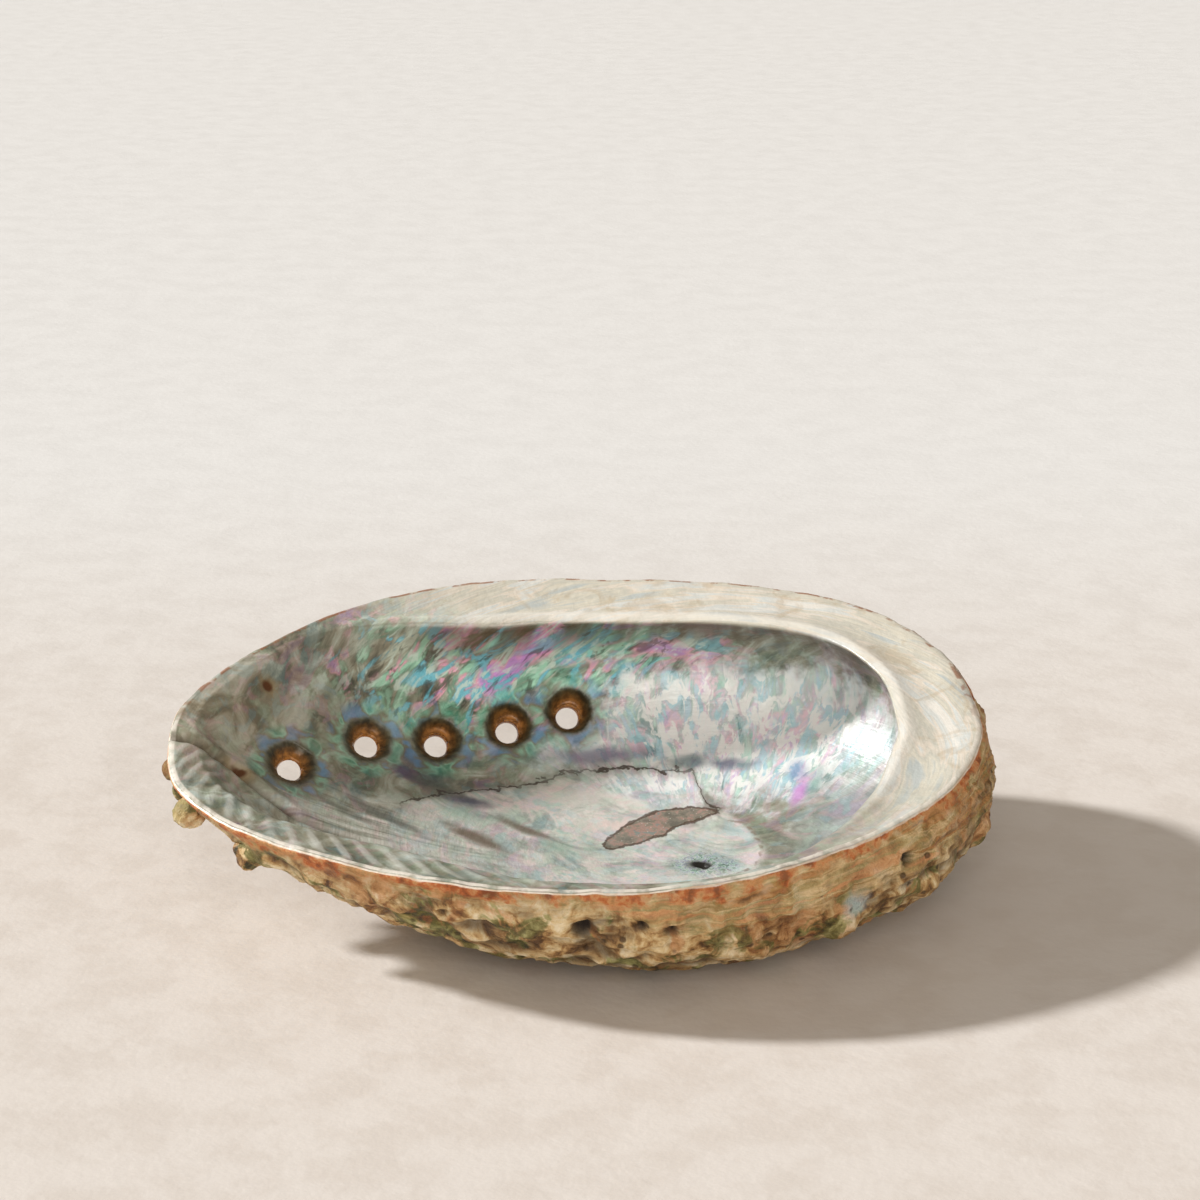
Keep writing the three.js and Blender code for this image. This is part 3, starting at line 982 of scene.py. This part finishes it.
BLOTS = [
    # middle, size, turn in degrees, colour, strength
    ((-30, 23, 14), (10, 5, 9), -30, (70, 72, 74), 0.8),
    ((-33, 18.5, 13), (5, 3.4, 7), -20, (84, 58, 100), 0.85),
    ((-21, 15, 9), (7, 3, 7), 12, (58, 64, 96), 0.85),
    ((-26, 17, 11), (9, 3.4, 7), -10, (78, 78, 72), 0.8),
    ((-19, 1, 8), (12, 3.0, 8), -30, (112, 94, 76), 0.85),
    ((-10, 8, 6), (9, 2.6, 8), -32, (116, 100, 84), 0.85),
    ((-35, 0, 12), (15, 2.4, 8), -22, (96, 98, 92), 0.75),
    ((-42, -3, 14), (12, 1.8, 8), -18, (86, 84, 74), 0.6),
    ((4, 34, 11), (14, 3.0, 6), 4, (110, 100, 132), 0.75),
    ((20, 32, 10), (6, 3.0, 5), 0, (70, 112, 120), 0.7),
    ((28, 31, 9), (8, 2.2, 5), -6, (74, 78, 116), 0.85),
    ((40, 21, 9.5), (2.2, 6, 6), -24, (208, 132, 216), 0.75),
    ((43, 22.5, 11), (2.0, 7, 6), -24, (84, 158, 148), 0.65),
    ((40, 27, 10), (2.6, 4, 5), -10, (116, 128, 184), 0.6),
    ((-22, 9, 8), (8, 4.6, 6), -20, (164, 198, 178), 0.65),
    ((-4, 2, 4), (9, 4.6, 5), -20, (166, 200, 182), 0.5),
    ((-1, 22, 6), (12, 4, 5), 8, (226, 220, 214), 0.6),
    ((6, 14, 4), (7, 3, 5), 20, (236, 214, 206), 0.6),
]


def nacre_marks(g, place, shade):
    """Blots, the seam, the blade mark and the coil."""
    for centre, size, turn, tone, power in BLOTS:
        mask = patch(g, place, centre, size, 0.85, 0.24, (0, 0, turn))
        shade = g.mix(g.times(mask, power), shade, tone)
    wobble = g.math("SUBTRACT", g.grains(place, 3.6, 3, 0.6), 0.5)
    bent = g.math("ADD", g.value("seam"), g.times(wobble, 6.0))
    line = g.math("ABSOLUTE", bent)
    broken = g.remap(g.grains(place, 6.0, 2, 0.5, 0, 2), 0.40, 0.50, 0.65, 1.0)
    broken = g.times(broken, g.value("seam_on"))
    shadow = g.times(g.remap(line, 2.4, 0.3), g.value("seam_on"), 0.35)
    shade = g.mix(shadow, shade, (120, 112, 92))
    shade = g.mix(g.times(g.remap(line, 0.42, 0.2), broken, 0.9), shade, (58, 38, 24))
    edge = g.math("ADD", g.value("blade"), g.times(wobble, 3.4))
    inside = g.remap(edge, 0.15, -0.15)
    speck = g.remap(g.cells(place, 0.9), 0.16, 0.08)
    rust = g.ramp(g.grains(place, 3.0, 4, 0.7), (0.38, 96, 88, 74), (0.5, 132, 122, 106),
                  (0.58, 172, 128, 116), (0.66, 120, 132, 126))
    shade = g.mix(g.times(inside, 0.9), shade, rust)
    shade = g.mix(g.times(inside, speck, 0.7), shade, (232, 228, 220))
    shade = g.mix(g.times(g.remap(g.math("ABSOLUTE", edge), 0.5, 0.2), 0.85), shade,
                  (74, 50, 34))
    coil = g.math("ABSOLUTE", g.math("ADD", g.value("whorl"), g.times(wobble, 2.0)))
    return g.mix(g.times(g.remap(coil, 0.55, 0.12), 0.6), shade, (120, 96, 72))


SPIRE_PLACE = (21.2, -1.5, 3.2)


def nacre_spire(g, place, shade):
    """Pale ribs, glints of colour and the dark hole at the spire, painted near black as shade."""
    spire = patch(g, place, SPIRE_PLACE, (8.5, 7.5, 6), 0.7, 0.3)
    glint = g.ramp(g.grains(place, 1.1, 4, 0.7, 1.0), (0.36, 44, 58, 52), (0.44, 104, 170, 150),
                   (0.50, 210, 222, 216), (0.57, 134, 150, 190), (0.66, 84, 76, 58))
    shade = g.mix(g.times(spire, 0.75), shade, glint)
    rim = patch(g, place, SPIRE_PLACE, (3.4, 2.9, 5), 0.7, 0.2)
    shade = g.mix(g.times(rim, 0.8), shade, (74, 58, 40))
    # Near black in the spire's shallow hole: painted shade.
    return g.mix(patch(g, place, SPIRE_PLACE, (2.3, 1.9, 4), 0.35, 0.1), shade, (12, 8, 5))


def nacre_edges(g, place, grow, shade):
    """Flutes at the near margin with painted highlight and shade, the crease, painted shade under
    the shelf and the two pits.
    """
    flute = g.value("flute")
    uneven = g.remap(g.grains(place, 9, 2), 0.35, 0.6, 0.45, 1.0)
    # Lighter flute crests: painted highlight.
    shade = g.mix(g.times(g.remap(flute, -0.1, 0.8), uneven, 0.45), shade, (216, 218, 212))
    # Darker greenish flute troughs: painted shade.
    moss_and_shade = g.ramp(g.grains(place, 6, 3), (0.4, 92, 112, 92), (0.6, 130, 124, 106))
    shade = g.mix(g.times(g.remap(flute, 0.1, -0.8), uneven, 0.42), shade, moss_and_shade)
    shade = g.mix(g.times(g.value("crease"), 0.8), shade, (78, 62, 42))
    # Patchy brown painted shade under the shelf's overhang.
    stain_and_shade = g.times(g.value("undercut_shade"), g.remap(g.grains(grow, 6, 3), 0.25, 0.6))
    shade = g.mix(g.times(stain_and_shade, 0.9), shade, (96, 74, 50))
    pits = (((-59.8, -5.7, 23.7), (1.9, 1.2, 2.4)), ((-57.2, 19.7, 30.0), (1.5, 1.5, 1.8)))
    for centre, size in pits:
        halo = patch(g, place, centre, tuple(2.2 * s for s in size), 0.8, 0.2)
        shade = g.mix(g.times(halo, 0.5), shade, (168, 140, 92))
        shade = g.mix(patch(g, place, centre, size, 0.5, 0.2), shade, (92, 52, 16))
    return shade


def nacre_pores(g, place, shade):
    """A broken ring of colour outside each pore, and brown inside it, lightest at the throat."""
    off = g.math("ADD", g.value("pore"), g.times(g.grains(place, 2.4, 3), 1.6))
    halo = g.times(g.remap(off, 5.0, 6.2), g.remap(off, 9.5, 6.6))
    tint = g.ramp(g.grains(place, 5.0, 2, 0.5, 0.4), (0.38, 56, 150, 120), (0.46, 150, 214, 186),
                  (0.54, 120, 116, 90), (0.62, 96, 150, 200))
    shade = g.mix(g.times(halo, 0.6), shade, tint)
    crater = g.ramp( g.remap(off, 2.8, 6.2), (0.0, 196, 132, 66), (0.22, 136, 96, 48),
                    (0.5, 96, 80, 50), (0.8, 94, 88, 64), (1.0, 112, 110, 88))
    grime = g.ramp(g.grains(place, 1.5, 3), (0.35, 150, 150, 150), (0.65, 255, 255, 255))
    crater = g.mix(1.0, crater, grime, "MULTIPLY")
    return g.mix(g.remap(off, 6.5, 4.8), shade, crater)


def shelf_tone(g, place, grow):
    """The satin shelf: pale streaks that run along it, and a painted highlight on the rounded bead
    at its inner edge.
    """
    streak = g.noise(g.laid(grow, (24, 24, 3.4)), 3, 0.55, 0.5)
    shade = g.ramp(streak, (0.34, 194, 201, 200), (0.43, 222, 217, 202), (0.49, 206, 205, 194),
                   (0.54, 230, 220, 206), (0.60, 214, 219, 217), (0.68, 234, 231, 224))
    worn = g.remap(g.grains(place, 9, 4, 0.65, 0.8, 1), 0.50, 0.64)
    shade = g.mix(g.times(worn, 0.4), shade, (190, 168, 134))
    # Painted highlight along the bead.
    return g.mix(g.times(g.remap(g.value("bead_highlight"), 0.2, 0.9), 0.5), shade, (246, 243, 236))


def nacre_material():
    material, g, skin = new_material("nacre")
    place, grow = g.position(), growth(g)
    zones = nacre_zones(g, place)
    shade = nacre_ground(g, place, grow, zones)
    shade = nacre_play(g, place, grow, shade, zones)
    shade = nacre_marks(g, place, shade)
    shade = nacre_spire(g, place, shade)
    shade = nacre_edges(g, place, grow, shade)
    shade = nacre_pores(g, place, shade)
    shade = g.mix(g.value("shelf"), shade, shelf_tone(g, place, grow))
    crest = g.times(g.remap(g.value("from_rim"), 0.55, 0.25), g.value("near_side"))
    uneven = g.remap(g.grains(place, 3, 3), 0.36, 0.58, 0.25, 0.9)
    shade = g.mix(g.times(crest, uneven), shade, (236, 230, 220))
    edge = g.rest(g.value("inside"))
    shade = g.mix(edge, shade, g.mix(uneven, colour(204, 168, 132), (236, 228, 216)))
    stain_and_shade = g.remap(g.grains(place, 4, 4, 0.6), 0.46, 0.56)
    far_side = g.rest(g.value("near_side"))
    brown = g.times(g.remap(g.value("from_rim"), 0.9, 0.5), far_side)
    shade = g.mix(g.times(brown, stain_and_shade, 0.8), shade, (150, 92, 58))
    g.feed(skin["Base Color"], shade)
    g.feed(skin["Roughness"], g.remap(g.grains(place, 4, 3), 0.35, 0.65, 0.34, 0.5))
    skin["Metallic"].default_value = 0.1
    skin["Coat Weight"].default_value = 0.12
    skin["Coat Roughness"].default_value = 0.15
    height = g.use(FINE_RELIEF, position=place, growth=grow, lines=0.4, grain=0.5)["Height"]
    g.bump(skin, height, 0.0005, 0.5)
    return material


def crust_colour(g, place, tone):
    """Cream and tan lumps with darker brown painted shade in the hollows, olive growth, rust and
    one blue patch.
    """
    shade = g.ramp(tone, (0.34, 84, 56, 28), (0.42, 152, 114, 68), (0.48, 190, 156, 106),
                   (0.55, 214, 190, 146), (0.64, 230, 214, 182))
    # Darker brown where the crust sinks: painted shade.
    low = g.remap(g.value("rise"), 0.5, -0.7)
    shade = g.mix(g.times(low, 0.78), shade, (64, 44, 24))
    rust_field = g.remap(g.grains(place, 9, 4, 0.6, 1.0, 5), 0.53, 0.62)
    rust = g.math("MAXIMUM", patch(g, place, (36, -44, 10), (12, 14, 7), 0.8, 0.4), rust_field)
    shade = g.mix(g.times(rust, 0.6), shade, g.ramp(tone, (0.38, 98, 50, 18),
                  (0.6, 190, 122, 62)))
    green = g.remap(g.grains(place, 7.5, 4, 0.62, 0.8, 2), 0.52, 0.60)
    moss_and_shade = g.ramp(tone, (0.36, 38, 44, 16), (0.5, 84, 90, 38), (0.62, 146, 144, 86))
    shade = g.mix(g.times(green, 0.8), shade, moss_and_shade)
    blue = patch(g, place, (45, -40, 14), (4, 5, 4), 0.8, 0.35)
    return g.mix(g.times(blue, 0.7), shade, (170, 190, 196))


def crust_bands(g, place, shade, below):
    """The layered margin: the pale lip, the orange band and the streaks under it."""
    right = g.remap(g.add("ShaderNodeSeparateXYZ", {0: place}).outputs["X"], -8, 34)
    ragged = g.times(g.math("SUBTRACT", g.grains(place, 5, 4, 0.62, 0.5, 3), 0.5), 9.0)
    bent = g.math("ADD", below, g.times(ragged, 0.22))
    slanted = g.vector(g.value("grow_x"), g.value("grow_y"), bent)
    streaks = g.noise(g.laid(slanted, (26, 26, 2.8)), 3, 0.6, 0.2)
    layered = g.ramp(streaks, (0.36, 104, 66, 32), (0.43, 182, 122, 70), (0.48, 146, 122, 70),
                     (0.52, 214, 184, 140), (0.57, 154, 142, 92), (0.64, 204, 144, 98))
    depth = g.math("ADD", below, ragged)
    reach = g.remap(right, 0, 1, 3.0, 10.0)
    over = g.remap(g.math("SUBTRACT", depth, reach), 1.5, -2.5)
    shade = g.mix(g.times(over, 0.6), shade, layered)
    warm = g.ramp(g.grains(place, 3.4, 4, 0.65), (0.36, 126, 62, 24), (0.46, 178, 94, 44),
                  (0.54, 196, 140, 90), (0.64, 156, 112, 66))
    shade = g.mix(g.times(g.remap(depth, 2.8, 1.2), 0.9), shade, warm)
    lip = g.remap(g.math("ADD", below, g.times(ragged, 0.1)), 1.0, 0.7)
    return g.mix(lip, shade, (236, 226, 212))


def crust_material():
    material, g, skin = new_material("crust")
    place = g.position()
    below = g.value("below")
    tone = g.grains(place, 4.2, 5, 0.62, 0.7)
    shade = crust_colour(g, place, tone)
    shade = crust_bands(g, place, shade, below)
    # Near black in the shallow pits: painted shade.
    shade = g.mix(g.value("hollow"), shade, (28, 16, 7))
    spots = g.times(g.remap(g.cells(place, 4.2), 0.17, 0.08), g.remap(below, 3.0, 7.0))
    shade = g.mix(g.times(spots, 0.75), shade, (48, 30, 14))
    flake = patch(g, place, (-71, -9.6, 25.4), (2.2, 3.0, 3.0), 0.5, 0.15)
    shade = g.mix(g.times(flake, 0.85), shade, (132, 84, 48))
    ball = patch(g, place, (-67.2, -20.5, 21.6), (3.2, 3.2, 3.2), 0.5, 0.1)
    shade = g.mix(g.times(ball, 0.7), shade, (160, 146, 98))
    g.feed(skin["Base Color"], shade)
    g.feed(skin["Roughness"], g.remap(tone, 0.35, 0.65, 0.5, 0.85))
    skin["Specular IOR Level"].default_value = 0.4
    rough = g.grains(place, 1.5, 3, 0.66)
    height = g.times(rough, g.remap(below, 0.8, 5.0, 0.25, 1.0))
    height = g.math("SUBTRACT", height, g.times(spots, 0.5))
    g.bump(skin, height, 0.001, 0.7)
    return material


def pore_material():
    material, g, skin = new_material("pore_wall")
    tone = g.grains(g.position(), 1.5, 4, 0.6)
    shade = g.ramp(tone, (0.35, 110, 70, 28), (0.5, 176, 112, 50), (0.65, 214, 160, 92))
    g.feed(skin["Base Color"], shade)
    g.feed(skin["Roughness"], g.remap(tone, 0.3, 0.7, 0.35, 0.6))
    g.bump(skin, tone, 0.0003, 0.6)
    return material


for finish in (nacre_material(), crust_material(), pore_material()):
    shell.data.materials.append(finish)

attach(shell, "root")
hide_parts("shell")

# ---------------------------------------------------------------- stage, light and camera
FLOOR_HALF = 4.0


def stage():
    """A plain pale floor, a little cooler towards the back."""
    bm = bmesh.new()
    bmesh.ops.create_grid(bm, x_segments=1, y_segments=1, size=FLOOR_HALF)
    mesh = bpy.data.meshes.new("floor")
    bm.to_mesh(mesh)
    bm.free()
    floor = bpy.data.objects.new("floor", mesh)
    bpy.context.scene.collection.objects.link(floor)
    material, g, skin = new_material("floor")
    place = g.position()
    cloud = g.grains(place, 12, 3, 0.66)
    near = g.ramp(cloud, (0.4, 218, 211, 205), (0.56, 222, 216, 211))
    across = g.add("ShaderNodeSeparateXYZ", {"Vector": place}).outputs["Y"]
    g.feed(skin["Base Color"], g.mix(g.remap(across, 20, 300), near, (228, 228, 228)))
    g.feed(skin["Roughness"], g.remap(cloud, 0.3, 0.7, 0.5, 0.7))
    g.bump(skin, g.grains(place, 2.2, 2, 0.6), 0.0002, 0.5)
    mesh.materials.append(material)


AIM = Vector((0, 0, 0.01))


def sun(name, place, spread, power, tint):
    """A light from far away whose shadow edges soften with its spread in degrees."""
    data = bpy.data.lights.new(name, "SUN")
    data.angle = math.radians(spread)
    data.energy = power
    data.color = tint
    item = bpy.data.objects.new(name, data)
    item.location = place
    item.rotation_euler = (AIM - Vector(place)).to_track_quat("-Z", "Y").to_euler()
    bpy.context.scene.collection.objects.link(item)


def world():
    studio = bpy.data.worlds.new("studio")
    studio.use_nodes = True
    sky = studio.node_tree.nodes["Background"].inputs
    sky["Color"].default_value = (0.88, 0.77, 0.64, 1)
    sky["Strength"].default_value = 0.33
    bpy.context.scene.world = studio


CAMERA_PLACE = (0.0033, -0.46605, 0.2042)
CAMERA_DOWN = 18
LENS = 85
SENSOR_WIDTH = 36


def camera():
    data = bpy.data.cameras.new("camera")
    data.lens = LENS
    data.sensor_width = SENSOR_WIDTH
    item = bpy.data.objects.new("camera", data)
    item.location = CAMERA_PLACE
    item.rotation_euler = (math.radians(90 - CAMERA_DOWN), 0, 0)
    bpy.context.scene.collection.objects.link(item)
    bpy.context.scene.camera = item


stage()
world()
sun("key", (-1.05, 0.28, 0.70), 5, 3.85, (1.0, 0.99, 0.97))
sun("fill", (0.1, -1.2, 0.54), 50, 1.4, (1.0, 0.95, 0.88))
camera()
bpy.context.scene.view_settings.view_transform = "Standard"
